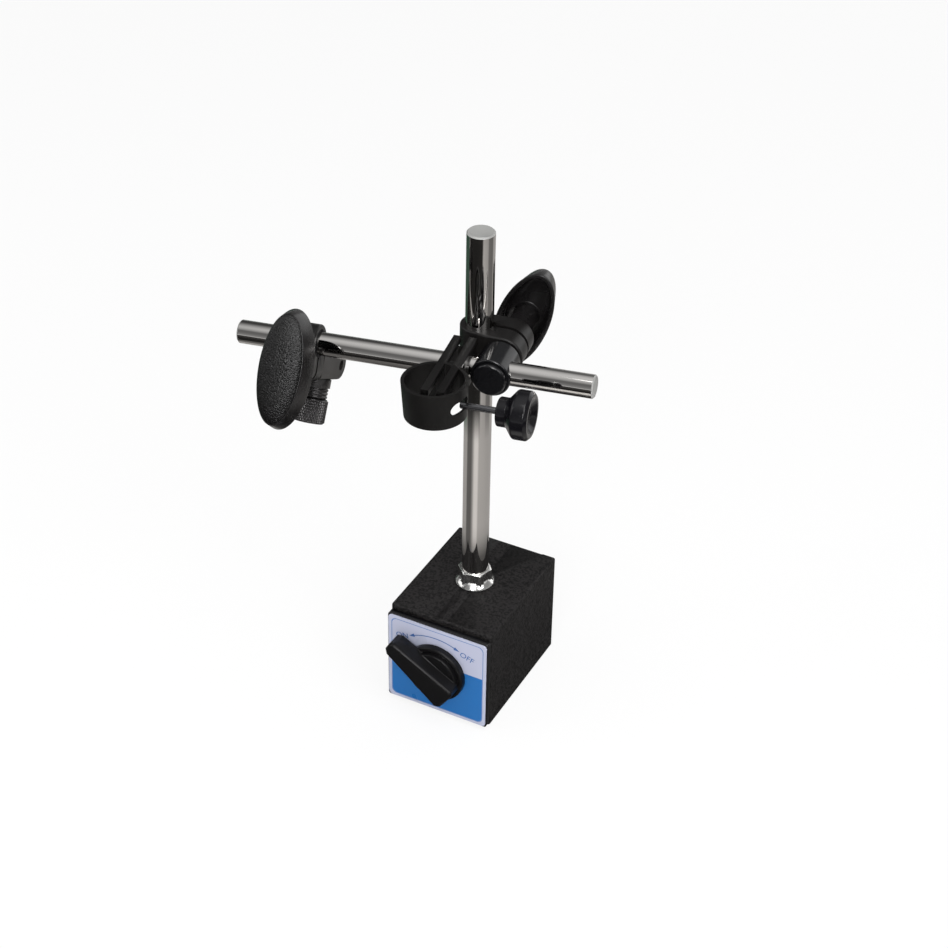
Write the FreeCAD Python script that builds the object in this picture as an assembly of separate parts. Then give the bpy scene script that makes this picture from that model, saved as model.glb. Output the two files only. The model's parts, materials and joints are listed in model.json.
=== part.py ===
import FreeCAD, Part
import math
import os
from FreeCAD import Matrix, Placement, Rotation, Vector

# Magnetic indicator stand, in millimetres.
# X runs along the front of the base to the right, Y to the back and Z up.
# The origin is the middle of the base's underside, where the stand rests.

# Base block: two steel poles with a brass strip between them
BASE_WIDTH = 50.0
BASE_DEPTH = 65.0
BASE_HEIGHT = 52.0
BASE_EDGE = 1.0
FOOT_CHAMFER = 0.9
STRIP_WIDTH = 6.0
GROOVE_WIDTH = 18.0
BACK_RELIEF_WIDTH = 37.0
BACK_RELIEF_DEPTH = 1.0

# Switched magnet in its bore
BORE_RADIUS = 15.5
BORE_HEIGHT = 25.6
BORE_DEPTH = 57.0
BUSH_LENGTH = 4.0
ROTOR_GAP = 0.3
ROTOR_RADIUS = 15.2
ROTOR_DISC = 3.0
MAGNET_THICKNESS = 11.0
SPINDLE_RADIUS = 5.0
STUB_RADIUS = 4.0

# Front plate and label
PLATE_WIDTH = 50.0
PLATE_BOTTOM = 1.7
PLATE_TOP = 49.3
PLATE_THICKNESS = 3.0
PLATE_CORNER = 1.2
LABEL_MARGIN = 0.4
LABEL_THICKNESS = 0.4
LABEL_CORNER = 2.0
PLATE_SCREW_RADIUS = 1.5
PLATE_SCREW_HEAD = 2.8
PLATE_SCREW_LENGTH = 9.0
PLATE_SCREW_INSET = 5.0

# Switch knob: flange, raised boss and lever
FLANGE_RADIUS = 14.3
FLANGE_THICKNESS = 2.2
RIM_WIDTH = 1.5
RIM_HEIGHT = 0.9
BOSS_RADIUS = 11.2
BOSS_HEIGHT = 4.6
LEVER_ANGLE = 145.0
LEVER_TIP = 23.8
LEVER_TAIL = 12.0
LEVER_TAIL_WIDTH = 14.0
LEVER_TIP_WIDTH = 7.6
LEVER_HEIGHT = 10.8
LEVER_CORNER = 2.0
LEVER_EDGE = 1.5
SOCKET_DEPTH = 6.5

# Column and its flange nut
COLUMN_RADIUS = 6.0
COLUMN_TOP = 231.0
COLUMN_CHAMFER = 0.6
COLUMN_STUD_RADIUS = 4.0
STUD_FLOOR = 1.9
NUT_HEIGHT = 8.0
NUT_FLATS = 13.6
NUT_FLANGE_RADIUS = 9.0
NUT_FLANGE_THICKNESS = 1.6
NUT_CHAMFER = 0.8

# Running clearances
SHAFT_CLEARANCE = 0.05
FACE_CLEARANCE = 0.05
KNOB_CLEARANCE = 0.3

# Clamp on the column
HEAD_HEIGHT = 179.2
HEAD_YAW = 10.0
CLAMP_WALL = 3.0
CLAMP_LOOP_WALL = 2.2
CLAMP_HEIGHT = 17.2
CLAMP_EDGE = 0.8
STUD_OFFSET = 12.7
SLIT_WIDTH = 1.6
STUD_RADIUS = 3.0

# Swivel that carries the cross rod
WASHER_THICKNESS = 1.6
WASHER_RADIUS = 7.2
SLEEVE_WALL = 1.3
SLEEVE_BACK = 2.4
EYE_RADIUS = 7.2
EYE_FRONT = 2.1
ROD_COVER = 0.9
ROD_REACH = 20.5
ARM_TILT = 1.6

# Cross rod
ROD_RADIUS = 5.0
ROD_LENGTH = 154.5
ROD_RIGHT = 42.8
ROD_CHAMFER = 0.6

# Oval clamping knobs
KNOB_LENGTH = 50.6
KNOB_WIDTH = 23.0
KNOB_TAPER = 2.2
KNOB_DEPTH = 9.2
KNOB_DOME = 2.6
KNOB_WALL = 1.6
KNOB_ROOF = 1.8
KNOB_STANDOFF = 11.2
KNOB_HUB_RADIUS = 5.4
INSERT_WALL = 1.2
INSERT_LENGTH = 13.0
REAR_KNOB_LEAN = 20.0
FRONT_KNOB_LEAN = 2.5

# Ring holder on the cross rod
HOLDER_X = -15.2
PRONG_WIDTH = 3.2
PRONG_GAP = 3.4
PRONG_THICKNESS = 2.6
PRONG_FRONT = -33.6
PRONG_BACK = 9.6
SADDLE_WALL = 3.2
RING_RADIUS = 13.7
RING_WALL = 1.5
RING_HEIGHT = 16.0
RING_X = -17.0
RING_Y = -25.2
RING_DRAFT = 0.7
SCREW_DROP = 10.2
SLOT_HEIGHT = 5.6
SLOT_LENGTH = 10.5
SLOT_RISE = 2.3
SLOT_FORWARD = 4.0

# Thumb screw of the ring
THUMB_SCREW_RADIUS = 1.4
THUMB_SCREW_REACH = 1.6
THUMB_GAP = 12.9
THUMB_COLLAR_RADIUS = 6.1
THUMB_COLLAR_LENGTH = 4.2
THUMB_RADIUS = 10.2
THUMB_LENGTH = 9.9
THUMB_FLARE = 3.2
THUMB_EDGE = 1.4
THUMB_DISH = 2.4

# Clamp on the cross rod, with its split bush
GRIP_X = -81.6
GRIP_LEAN = 30.5
GRIP_WIDTH = 11.6
GRIP_STUD_OFFSET = 11.5
STUD_SEAT = 9.0
BUSH_WALL = 1.0
BUSH_COLLAR = 0.8

# Stem holder behind the rod clamp
HOLDER_TILT = 3.3
HOLDER_WIDTH = 10.6
LUG_RADIUS = 6.3
LUG_REACH = 23.9
LUG_RISE = 2.3
LUG_HOLE_RADIUS = 2.25
STEM_Y = 10.4
STEM_RADIUS = 4.0
COLLAR_RADIUS = 6.5
COLLAR_LENGTH = 3.6
NECK_RADIUS = 6.0
NECK_LENGTH = 5.2
NECK_RINGS = 3
RING_GROOVE = 0.35
COLLET_RADIUS = 5.2
KNURL_RADIUS = 6.9
KNURL_LENGTH = 10.4
KNURL_CHAMFER = 0.6
COLLET_SLITS = 4
COLLET_SLIT_WIDTH = 0.6

X_AXIS = Vector(1, 0, 0)
Y_AXIS = Vector(0, 1, 0)
Z_AXIS = Vector(0, 0, 1)

front_face = -BASE_DEPTH / 2
plate_front = front_face - PLATE_THICKNESS
label_front = plate_front - LABEL_THICKNESS
stud_foot = BORE_HEIGHT + BORE_RADIUS + STUD_FLOOR
clamp_half = COLUMN_RADIUS + CLAMP_WALL
rod_bore = ROD_RADIUS + SHAFT_CLEARANCE
bush_radius = ROD_RADIUS + SHAFT_CLEARANCE + BUSH_WALL
grip_half = bush_radius + CLAMP_WALL - BUSH_WALL
stud_bore = STUD_RADIUS + SHAFT_CLEARANCE
insert_radius = stud_bore + INSERT_WALL
hub_seat = FACE_CLEARANCE - KNOB_STANDOFF
saddle_radius = rod_bore + SADDLE_WALL

head = Placement(Vector(0, 0, HEAD_HEIGHT), Rotation(Z_AXIS, HEAD_YAW))
arm = head.multiply(Placement(Vector(STUD_OFFSET, -ROD_REACH, 0), Rotation(Y_AXIS, -ARM_TILT)))
grip = arm.multiply(Placement(Vector(GRIP_X, 0, 0), Rotation(X_AXIS, -GRIP_LEAN)))
stem = grip.multiply(Placement(Vector(0, 0, -GRIP_STUD_OFFSET), Rotation(Y_AXIS, HOLDER_TILT)))


def cylinder(radius, start, end, axis=Z_AXIS, at=Vector(0, 0, 0)):
    """A round bar about a line through at, from start to end along its axis."""
    return Part.makeCylinder(radius, end - start, at + axis * start, axis)


def block(x0, x1, y0, y1, z0, z1):
    return Part.makeBox(x1 - x0, y1 - y0, z1 - z0, Vector(x0, y0, z0))


def turned(profile, axis=Z_AXIS):
    """A turned piece from (radius, height) points, closed along its axis."""
    points = [Vector(r, 0, h) for r, h in profile]
    face = Part.Face(Part.makePolygon(points + points[:1]))
    solid = face.revolve(Vector(0, 0, 0), Z_AXIS, 360)
    solid.Placement = Placement(Vector(0, 0, 0), Rotation(Z_AXIS, axis))
    return solid


def chamfered_bar(radius, start, end, chamfer):
    return turned([(0, start), (radius - chamfer, start), (radius, start + chamfer),
                   (radius, end - chamfer), (radius - chamfer, end), (0, end)])


def rounded_plate(width, bottom, top, back, front, corner):
    """A flat plate that stands upright, with rounded corners."""
    plate = block(-width / 2, width / 2, front, back, bottom, top)
    corners = [e for e in plate.Edges if abs(e.tangentAt(e.FirstParameter).y) > 0.9]
    return plate.makeFillet(corner, corners)


def ellipse_wire(half_length, half_width, height):
    curve = Part.Ellipse(Vector(0, 0, height), half_length, half_width)
    return Part.Wire(curve.toShape())


def ellipse_cone(half_length, half_width, taper, start, end):
    """A solid between two ellipses, the upper one smaller by the taper."""
    lower = ellipse_wire(half_length, half_width, start)
    upper = ellipse_wire(half_length - taper, half_width - taper, end)
    return Part.makeLoft([lower, upper], True, True)


def placed(shape, placement):
    moved = shape.copy()
    moved.Placement = placement.multiply(shape.Placement)
    return moved


def along(direction, across):
    """The turn that takes Z to direction and X to across."""
    return Rotation(across, direction.cross(across), direction, "ZXY")


def base_blank():
    """The block's outside, with its grooved foot and the relief in its back."""
    half_width = BASE_WIDTH / 2
    blank = block(-half_width, half_width, front_face, -front_face, 0, BASE_HEIGHT)
    rounded = [e for e in blank.Edges if e.BoundBox.ZMax > BASE_EDGE]
    blank = blank.makeFillet(BASE_EDGE, rounded)
    foot = [e for e in blank.Edges if e.BoundBox.ZMax < BASE_EDGE]
    blank = blank.makeChamfer(FOOT_CHAMFER, foot)
    half_groove = GROOVE_WIDTH / 2
    groove = Part.Face(Part.makePolygon([
        Vector(-half_groove, front_face, 0), Vector(half_groove, front_face, 0),
        Vector(0, front_face, half_groove), Vector(-half_groove, front_face, 0)]))
    half_relief = BACK_RELIEF_WIDTH / 2
    relief = block(-half_relief, half_relief, -front_face - BACK_RELIEF_DEPTH, -front_face,
                   0, BASE_HEIGHT)
    return blank.cut(groove.extrude(Y_AXIS * BASE_DEPTH)).cut(relief)


def bored_base():
    """The block with the magnet's bore and the holes for the column and the plate screws."""
    centre = Vector(0, 0, BORE_HEIGHT)
    bore = cylinder(BORE_RADIUS, front_face, front_face + BORE_DEPTH, Y_AXIS, centre)
    stud = cylinder(COLUMN_STUD_RADIUS + SHAFT_CLEARANCE, stud_foot - FACE_CLEARANCE, BASE_HEIGHT)
    shell = base_blank().cut(bore).cut(stud)
    for x, z in screw_places():
        shell = shell.cut(cylinder(PLATE_SCREW_RADIUS, front_face,
                                   front_face + PLATE_SCREW_LENGTH - PLATE_THICKNESS,
                                   Y_AXIS, Vector(x, 0, z)))
    return shell


def base_sector(x0, x1, z0, z1):
    return bored_base().common(block(x0, x1, front_face, -front_face, z0, z1))


def pole_left():
    return base_sector(-BASE_WIDTH / 2, -STRIP_WIDTH / 2, 0, BASE_HEIGHT)


def pole_right():
    return base_sector(STRIP_WIDTH / 2, BASE_WIDTH / 2, 0, BASE_HEIGHT)


def strip_top():
    return base_sector(-STRIP_WIDTH / 2, STRIP_WIDTH / 2, BORE_HEIGHT, BASE_HEIGHT)


def strip_bottom():
    return base_sector(-STRIP_WIDTH / 2, STRIP_WIDTH / 2, 0, BORE_HEIGHT)


def screw_places():
    """Where the plate's screws sit: its four corners."""
    across = PLATE_WIDTH / 2 - PLATE_SCREW_INSET
    low = PLATE_BOTTOM + PLATE_SCREW_INSET
    high = PLATE_TOP - PLATE_SCREW_INSET
    return [(x, z) for x in (-across, across) for z in (low, high)]


def plate_screw(x, z):
    """A countersunk screw, its flat head flush with the plate."""
    sink = PLATE_SCREW_HEAD - PLATE_SCREW_RADIUS
    screw = turned([(0, 0), (PLATE_SCREW_HEAD, 0), (PLATE_SCREW_RADIUS, sink),
                    (PLATE_SCREW_RADIUS, PLATE_SCREW_LENGTH), (0, PLATE_SCREW_LENGTH)], Y_AXIS)
    screw.translate(Vector(x, plate_front, z))
    return screw


def plate_screws():
    return Part.makeCompound([plate_screw(x, z) for x, z in screw_places()])


def front_plate():
    plate = rounded_plate(PLATE_WIDTH, PLATE_BOTTOM, PLATE_TOP, front_face, plate_front,
                          PLATE_CORNER)
    plate = plate.cut(cylinder(SPINDLE_RADIUS + KNOB_CLEARANCE, plate_front, front_face,
                               Y_AXIS, Vector(0, 0, BORE_HEIGHT)))
    for x, z in screw_places():
        plate = plate.cut(plate_screw(x, z))
    return plate


def label_plate():
    label = rounded_plate(PLATE_WIDTH - 2 * LABEL_MARGIN, PLATE_BOTTOM + LABEL_MARGIN,
                          PLATE_TOP - LABEL_MARGIN, plate_front, label_front, LABEL_CORNER)
    return label.cut(cylinder(SPINDLE_RADIUS + KNOB_CLEARANCE, label_front, plate_front,
                              Y_AXIS, Vector(0, 0, BORE_HEIGHT)))


def bore_ring(start, hole):
    """A bush that fills the bore and carries a spindle."""
    centre = Vector(0, 0, BORE_HEIGHT)
    ring = cylinder(BORE_RADIUS, start, start + BUSH_LENGTH, Y_AXIS, centre)
    return ring.cut(cylinder(hole, start, start + BUSH_LENGTH, Y_AXIS, centre))


rotor_front = front_face + BUSH_LENGTH + ROTOR_GAP
core_front = rotor_front + ROTOR_DISC
core_back = front_face + BORE_DEPTH - BUSH_LENGTH - ROTOR_GAP - ROTOR_DISC
rotor_centre = Vector(0, 0, BORE_HEIGHT)


def front_bush():
    return bore_ring(front_face, SPINDLE_RADIUS + SHAFT_CLEARANCE)


def rear_bush():
    return bore_ring(front_face + BORE_DEPTH - BUSH_LENGTH, STUB_RADIUS + SHAFT_CLEARANCE)


def front_spindle():
    """The disc at the front of the magnet and the spindle that the knob turns."""
    disc = cylinder(ROTOR_RADIUS, rotor_front, core_front, Y_AXIS, rotor_centre)
    knob_back = label_front - KNOB_CLEARANCE
    spindle = cylinder(SPINDLE_RADIUS, knob_back - SOCKET_DEPTH, rotor_front, Y_AXIS,
                       rotor_centre)
    return disc.fuse(spindle).removeSplitter()


def rear_spindle():
    """The disc at the back of the magnet and its stub in the rear bush."""
    disc = cylinder(ROTOR_RADIUS, core_back, core_back + ROTOR_DISC, Y_AXIS, rotor_centre)
    stub = cylinder(STUB_RADIUS, core_back + ROTOR_DISC,
                    core_back + ROTOR_DISC + ROTOR_GAP + BUSH_LENGTH - FACE_CLEARANCE,
                    Y_AXIS, rotor_centre)
    return disc.fuse(stub).removeSplitter()


def rotor_core(low, high):
    """A slice of the rotor across the lever, between two distances from its axis."""
    core = cylinder(ROTOR_RADIUS, core_front, core_back, Y_AXIS)
    slab = block(-ROTOR_RADIUS, ROTOR_RADIUS, core_front, core_back, low, high)
    return placed(core.common(slab), Placement(rotor_centre, Rotation(Y_AXIS, 90)))


def rotor_pole_a():
    return rotor_core(MAGNET_THICKNESS / 2, ROTOR_RADIUS)


def rotor_pole_b():
    return rotor_core(-ROTOR_RADIUS, -MAGNET_THICKNESS / 2)


def rotor_magnet():
    return rotor_core(-MAGNET_THICKNESS / 2, MAGNET_THICKNESS / 2)


def switch_knob():
    """The dished flange, its raised boss and the lever that points to the state."""
    rim_top = FLANGE_THICKNESS + RIM_HEIGHT
    flange = turned([(0, 0), (FLANGE_RADIUS, 0), (FLANGE_RADIUS, FLANGE_THICKNESS),
                     (FLANGE_RADIUS - RIM_HEIGHT / 2, rim_top),
                     (FLANGE_RADIUS - RIM_WIDTH, rim_top),
                     (FLANGE_RADIUS - RIM_WIDTH - RIM_HEIGHT, FLANGE_THICKNESS),
                     (BOSS_RADIUS + RIM_HEIGHT / 2, FLANGE_THICKNESS),
                     (BOSS_RADIUS, BOSS_HEIGHT), (0, BOSS_HEIGHT)])
    upper = [(-LEVER_TAIL, LEVER_TAIL_WIDTH / 2 - LEVER_CORNER),
             (LEVER_CORNER - LEVER_TAIL, LEVER_TAIL_WIDTH / 2),
             (LEVER_TIP - LEVER_CORNER, LEVER_TIP_WIDTH / 2),
             (LEVER_TIP, LEVER_TIP_WIDTH / 2 - LEVER_CORNER)]
    lower = [(x, -y) for x, y in reversed(upper)]
    outline = [Vector(x, y, FLANGE_THICKNESS) for x, y in upper + lower]
    face = Part.Face(Part.makePolygon(outline + outline[:1]))
    lever = face.extrude(Z_AXIS * (LEVER_HEIGHT - FLANGE_THICKNESS))
    top_edges = [e for e in lever.Edges if e.BoundBox.ZMin > LEVER_HEIGHT - LEVER_EDGE]
    lever = lever.makeFillet(LEVER_EDGE, top_edges)
    knob = flange.fuse(lever).removeSplitter()
    knob = knob.cut(cylinder(SPINDLE_RADIUS, 0, SOCKET_DEPTH))
    angle = math.radians(LEVER_ANGLE)
    pointing = Vector(math.cos(angle), 0, math.sin(angle))
    place = Placement(Vector(0, label_front - KNOB_CLEARANCE, BORE_HEIGHT),
                      along(-Y_AXIS, pointing))
    return placed(knob, place)


def column_nut():
    """The flange nut that locks the column to the base."""
    corner = NUT_FLATS / 2 / math.cos(math.radians(30))
    points = [Vector(corner * math.cos(math.radians(60 * k + 15)),
                     corner * math.sin(math.radians(60 * k + 15)), 0) for k in range(7)]
    hexagon = Part.Face(Part.makePolygon(points)).extrude(Z_AXIS * NUT_HEIGHT)
    trim = turned([(0, 0), (corner, 0), (corner, NUT_HEIGHT - NUT_CHAMFER),
                   (corner - 2 * NUT_CHAMFER, NUT_HEIGHT), (0, NUT_HEIGHT)])
    lip = NUT_FLANGE_THICKNESS / 2
    flange = turned([(0, 0), (NUT_FLANGE_RADIUS - lip / 2, 0), (NUT_FLANGE_RADIUS, lip / 2),
                     (NUT_FLANGE_RADIUS, lip), (corner - NUT_CHAMFER, 2 * NUT_FLANGE_THICKNESS),
                     (0, 2 * NUT_FLANGE_THICKNESS)])
    nut = hexagon.common(trim).fuse(flange).removeSplitter()
    nut = nut.cut(cylinder(COLUMN_STUD_RADIUS + SHAFT_CLEARANCE, 0, NUT_HEIGHT))
    return placed(nut, Placement(Vector(0, 0, BASE_HEIGHT), Rotation()))


def column():
    """The upright bar, with the thinner threaded stud that screws into the base."""
    foot = BASE_HEIGHT + NUT_HEIGHT + FACE_CLEARANCE
    bar = chamfered_bar(COLUMN_RADIUS, foot, COLUMN_TOP, COLUMN_CHAMFER)
    return bar.fuse(cylinder(COLUMN_STUD_RADIUS, stud_foot, foot)).removeSplitter()


def split_clamp(bore, loop, half, offset, height):
    """A loop round a bar along Z that runs into two cheeks with a stud across them."""
    end = height / 2
    reach = offset + end
    outline = [Vector(0, -loop, -end), Vector(loop / 2, -half, -end), Vector(reach, -half, -end),
               Vector(reach, half, -end), Vector(loop / 2, half, -end), Vector(0, loop, -end)]
    cheeks = Part.Face(Part.makePolygon(outline + outline[:1])).extrude(Z_AXIS * height)
    plan = cylinder(loop, -end, end).fuse(cheeks)
    side = block(-half, offset, -half, half, -end, end)
    side = side.fuse(cylinder(end, -half, half, Y_AXIS, Vector(offset, 0, 0)))
    body = plan.common(side).removeSplitter()
    body = body.makeFillet(CLAMP_EDGE, [e for e in body.Edges if e.Length > CLAMP_EDGE])
    slit = block(0, reach, -SLIT_WIDTH / 2, SLIT_WIDTH / 2, -end, end)
    hole = cylinder(stud_bore, -half, half, Y_AXIS, Vector(offset, 0, 0))
    return body.cut(cylinder(bore, -end, end)).cut(slit).cut(hole)


def column_clamp():
    clamp = split_clamp(COLUMN_RADIUS + SHAFT_CLEARANCE, COLUMN_RADIUS + CLAMP_LOOP_WALL,
                        clamp_half, STUD_OFFSET, CLAMP_HEIGHT)
    return placed(clamp, head)


# Distances along the swivel's axis, from the column's axis towards the front
washer_back = clamp_half + FACE_CLEARANCE
sleeve_back = washer_back + WASHER_THICKNESS
eye_back = sleeve_back + SLEEVE_BACK
sleeve_front = ROD_REACH + ROD_RADIUS + ROD_COVER
eye_front = sleeve_front + EYE_FRONT
stud_end = clamp_half + FACE_CLEARANCE + INSERT_LENGTH


def swivel_part(shape):
    """Puts a piece that was made about Y on the swivel's axis, tilted with the arm."""
    tilt = Placement(Vector(STUD_OFFSET, 0, 0), Rotation(Y_AXIS, -ARM_TILT))
    return placed(shape, head.multiply(tilt))


def cross_hole():
    """The hole for the rod, from side to side through the swivel."""
    reach = EYE_RADIUS + SLEEVE_WALL + KNOB_CLEARANCE
    return cylinder(rod_bore, -reach, reach, X_AXIS, Vector(0, -ROD_REACH, 0))


def friction_washer():
    ring = cylinder(WASHER_RADIUS, -sleeve_back, -washer_back, Y_AXIS)
    return swivel_part(ring.cut(cylinder(STUD_RADIUS, -sleeve_back, -washer_back, Y_AXIS)))


def rod_sleeve():
    """The barrel that the eye draws the rod against."""
    outer = cylinder(EYE_RADIUS + SLEEVE_WALL, -sleeve_front, -sleeve_back, Y_AXIS)
    edges = [e for e in outer.Edges if e.BoundBox.YLength < SHAFT_CLEARANCE]
    outer = outer.makeFillet(SLEEVE_WALL / 2, edges)
    inner = cylinder(EYE_RADIUS, -sleeve_front, -eye_back, Y_AXIS)
    passage = cylinder(STUD_RADIUS, -eye_back, -sleeve_back, Y_AXIS)
    return swivel_part(outer.cut(inner).cut(passage).cut(cross_hole()))


def eye_stud():
    """The stud whose eye holds the rod, with its round face at the front."""
    edge = EYE_FRONT / 3
    head_bar = turned([(0, -stud_end), (STUD_RADIUS, -stud_end), (STUD_RADIUS, eye_back),
                       (EYE_RADIUS, eye_back), (EYE_RADIUS, eye_front - edge),
                       (EYE_RADIUS - edge, eye_front), (0, eye_front)], -Y_AXIS)
    return swivel_part(head_bar.cut(cross_hole()))


def oval_knob():
    """A hollow oval knob about Z, its open side down and its hub on the clamp."""
    half_length = KNOB_LENGTH / 2
    half_width = KNOB_WIDTH / 2
    body = ellipse_cone(half_length, half_width, KNOB_TAPER, 0, KNOB_DEPTH)
    scale = Matrix()
    scale.scale(half_length - KNOB_TAPER, half_width - KNOB_TAPER, KNOB_DOME)
    dome = Part.makeSphere(1.0, Vector(0, 0, 0), Z_AXIS, 0, 90, 360).transformGeometry(scale)
    dome.translate(Z_AXIS * KNOB_DEPTH)
    hollow = ellipse_cone(half_length - KNOB_WALL, half_width - KNOB_WALL, KNOB_TAPER,
                          0, KNOB_DEPTH - KNOB_ROOF)
    hub = cylinder(KNOB_HUB_RADIUS, hub_seat, KNOB_DEPTH - KNOB_ROOF)
    insert = cylinder(insert_radius, hub_seat, hub_seat + INSERT_LENGTH)
    return body.fuse(dome).cut(hollow).fuse(hub).cut(insert)


def knob_insert():
    """The threaded metal sleeve moulded into a knob's hub."""
    outer = cylinder(insert_radius, hub_seat, hub_seat + INSERT_LENGTH)
    return outer.cut(cylinder(stud_bore, hub_seat, hub_seat + INSERT_LENGTH))


def leaning(angle):
    """The direction of a knob's length, at an angle from upright."""
    return Vector(math.sin(math.radians(angle)), 0, math.cos(math.radians(angle)))


rear_knob_place = head.multiply(Placement(
    Vector(STUD_OFFSET, clamp_half + KNOB_STANDOFF, 0), along(Y_AXIS, leaning(REAR_KNOB_LEAN))))
front_knob_place = grip.multiply(Placement(
    Vector(0, -grip_half - KNOB_STANDOFF, -GRIP_STUD_OFFSET),
    along(-Y_AXIS, leaning(FRONT_KNOB_LEAN))))


def rear_knob():
    return placed(oval_knob(), rear_knob_place)


def rear_knob_insert():
    return placed(knob_insert(), rear_knob_place)


def front_knob():
    return placed(oval_knob(), front_knob_place)


def front_knob_insert():
    return placed(knob_insert(), front_knob_place)


def cross_rod():
    bar = chamfered_bar(ROD_RADIUS, ROD_RIGHT - ROD_LENGTH, ROD_RIGHT, ROD_CHAMFER)
    return placed(bar, arm.multiply(Placement(Vector(0, 0, 0), Rotation(Z_AXIS, X_AXIS))))


def ring_holder():
    """The open ring with its two prongs, which run back over the rod to a saddle."""
    top = saddle_radius
    floor = top - RING_HEIGHT
    ring_at = Vector(RING_X, RING_Y, 0)
    outer = Part.makeCone(RING_RADIUS - RING_DRAFT, RING_RADIUS, RING_HEIGHT,
                          ring_at + Z_AXIS * floor, Z_AXIS)
    inner = cylinder(RING_RADIUS - RING_WALL, floor, top, Z_AXIS, ring_at)
    screw_at = Vector(RING_X, RING_Y, top - SCREW_DROP)
    ring = outer.cut(inner)
    half_pair = PRONG_GAP / 2 + PRONG_WIDTH
    pair = block(HOLDER_X - half_pair, HOLDER_X + half_pair, PRONG_FRONT, PRONG_BACK,
                 top - PRONG_THICKNESS, top)
    saddle = cylinder(saddle_radius, HOLDER_X - half_pair, HOLDER_X + half_pair, X_AXIS)
    slot = block(HOLDER_X - PRONG_GAP / 2, HOLDER_X + PRONG_GAP / 2, PRONG_FRONT, PRONG_BACK,
                 top - PRONG_THICKNESS, top)
    bore = cylinder(rod_bore, HOLDER_X - half_pair, HOLDER_X + half_pair, X_AXIS)
    screw_hole = cylinder(THUMB_SCREW_RADIUS + SHAFT_CLEARANCE, 0, RING_RADIUS, X_AXIS, screw_at)
    prongs = pair.fuse(saddle).cut(slot)
    holder = ring.fuse(prongs).removeSplitter().cut(bore).cut(screw_hole).cut(wall_slot())
    return placed(holder, arm)


def wall_slot():
    """The long window in the ring's wall, above the screw and in front of it."""
    x0 = RING_X + RING_RADIUS / 2
    x1 = RING_X + RING_RADIUS
    y = RING_Y - SLOT_FORWARD
    z = saddle_radius - SCREW_DROP + SLOT_RISE
    radius = SLOT_HEIGHT / 2
    half = SLOT_LENGTH / 2 - radius
    window = block(x0, x1, y - half, y + half, z - radius, z + radius)
    for end in (y - half, y + half):
        window = window.fuse(cylinder(radius, x0, x1, X_AXIS, Vector(0, end, z)))
    return window


screw_frame = arm.multiply(Placement(
    Vector(RING_X + RING_RADIUS, RING_Y, saddle_radius - SCREW_DROP),
    Rotation(Z_AXIS, X_AXIS)))


def thumb_screw():
    """The long screw through the ring's wall."""
    tip = -RING_WALL - THUMB_SCREW_REACH
    rod = chamfered_bar(THUMB_SCREW_RADIUS, tip, THUMB_GAP + THUMB_COLLAR_LENGTH,
                        THUMB_SCREW_RADIUS / 4)
    return placed(rod, screw_frame)


def thumb_knob():
    """The flared knob of the thumb screw, with a dish in its front."""
    neck = THUMB_GAP + THUMB_COLLAR_LENGTH
    end = neck + THUMB_LENGTH
    knob = turned([(0, THUMB_GAP), (THUMB_COLLAR_RADIUS, THUMB_GAP), (THUMB_COLLAR_RADIUS, neck),
                   (THUMB_RADIUS, neck + THUMB_FLARE), (THUMB_RADIUS, end - THUMB_EDGE),
                   (THUMB_RADIUS - THUMB_EDGE, end), (THUMB_RADIUS - 2 * THUMB_EDGE, end),
                   (0, end - THUMB_DISH)])
    hole = cylinder(THUMB_SCREW_RADIUS, THUMB_GAP, neck)
    return placed(knob.cut(hole), screw_frame)


def clamp_bush():
    """The split bush that packs the clamp's bore down to the rod."""
    half = GRIP_WIDTH / 2
    ring = cylinder(bush_radius - SHAFT_CLEARANCE, -half, half, X_AXIS)
    ring = ring.cut(cylinder(rod_bore, -half, half, X_AXIS))
    cut = block(-half, half, -SLIT_WIDTH / 2, SLIT_WIDTH / 2, 0, bush_radius)
    return placed(ring.cut(cut), grip)


def rod_clamp():
    clamp = split_clamp(bush_radius, grip_half, grip_half, GRIP_STUD_OFFSET, GRIP_WIDTH)
    return placed(clamp, grip.multiply(Placement(Vector(0, 0, 0), Rotation(Y_AXIS, 90))))


holder_front = grip_half + FACE_CLEARANCE
lug_y = holder_front + LUG_REACH
stem_y = holder_front + STEM_Y
stem_top = LUG_RISE - LUG_RADIUS


def holder_stud():
    """The stud through the rod clamp, held by its thread in the stem holder."""
    front = -(grip_half + FACE_CLEARANCE + INSERT_LENGTH)
    return placed(cylinder(STUD_RADIUS, front, holder_front + STUD_SEAT, Y_AXIS), stem)


def stem_holder():
    """The block behind the clamp, with a lug at its end and the collet below."""
    half = HOLDER_WIDTH / 2
    lug_at = Vector(0, lug_y, LUG_RISE)
    body = block(-half, half, holder_front, lug_y, stem_top, LUG_RADIUS + LUG_RISE)
    body = body.fuse(cylinder(LUG_RADIUS, -half, half, X_AXIS, lug_at)).removeSplitter()
    body = body.makeFillet(CLAMP_EDGE, [e for e in body.Edges if e.Length > CLAMP_EDGE])
    body = body.cut(cylinder(LUG_HOLE_RADIUS, -half, half, X_AXIS, lug_at))
    body = body.cut(cylinder(STUD_RADIUS, holder_front, holder_front + STUD_SEAT, Y_AXIS))
    return placed(body, stem)


collar_end = stem_top - COLLAR_LENGTH
neck_end = collar_end - NECK_LENGTH
collet_end = neck_end - FACE_CLEARANCE - KNURL_LENGTH


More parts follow.
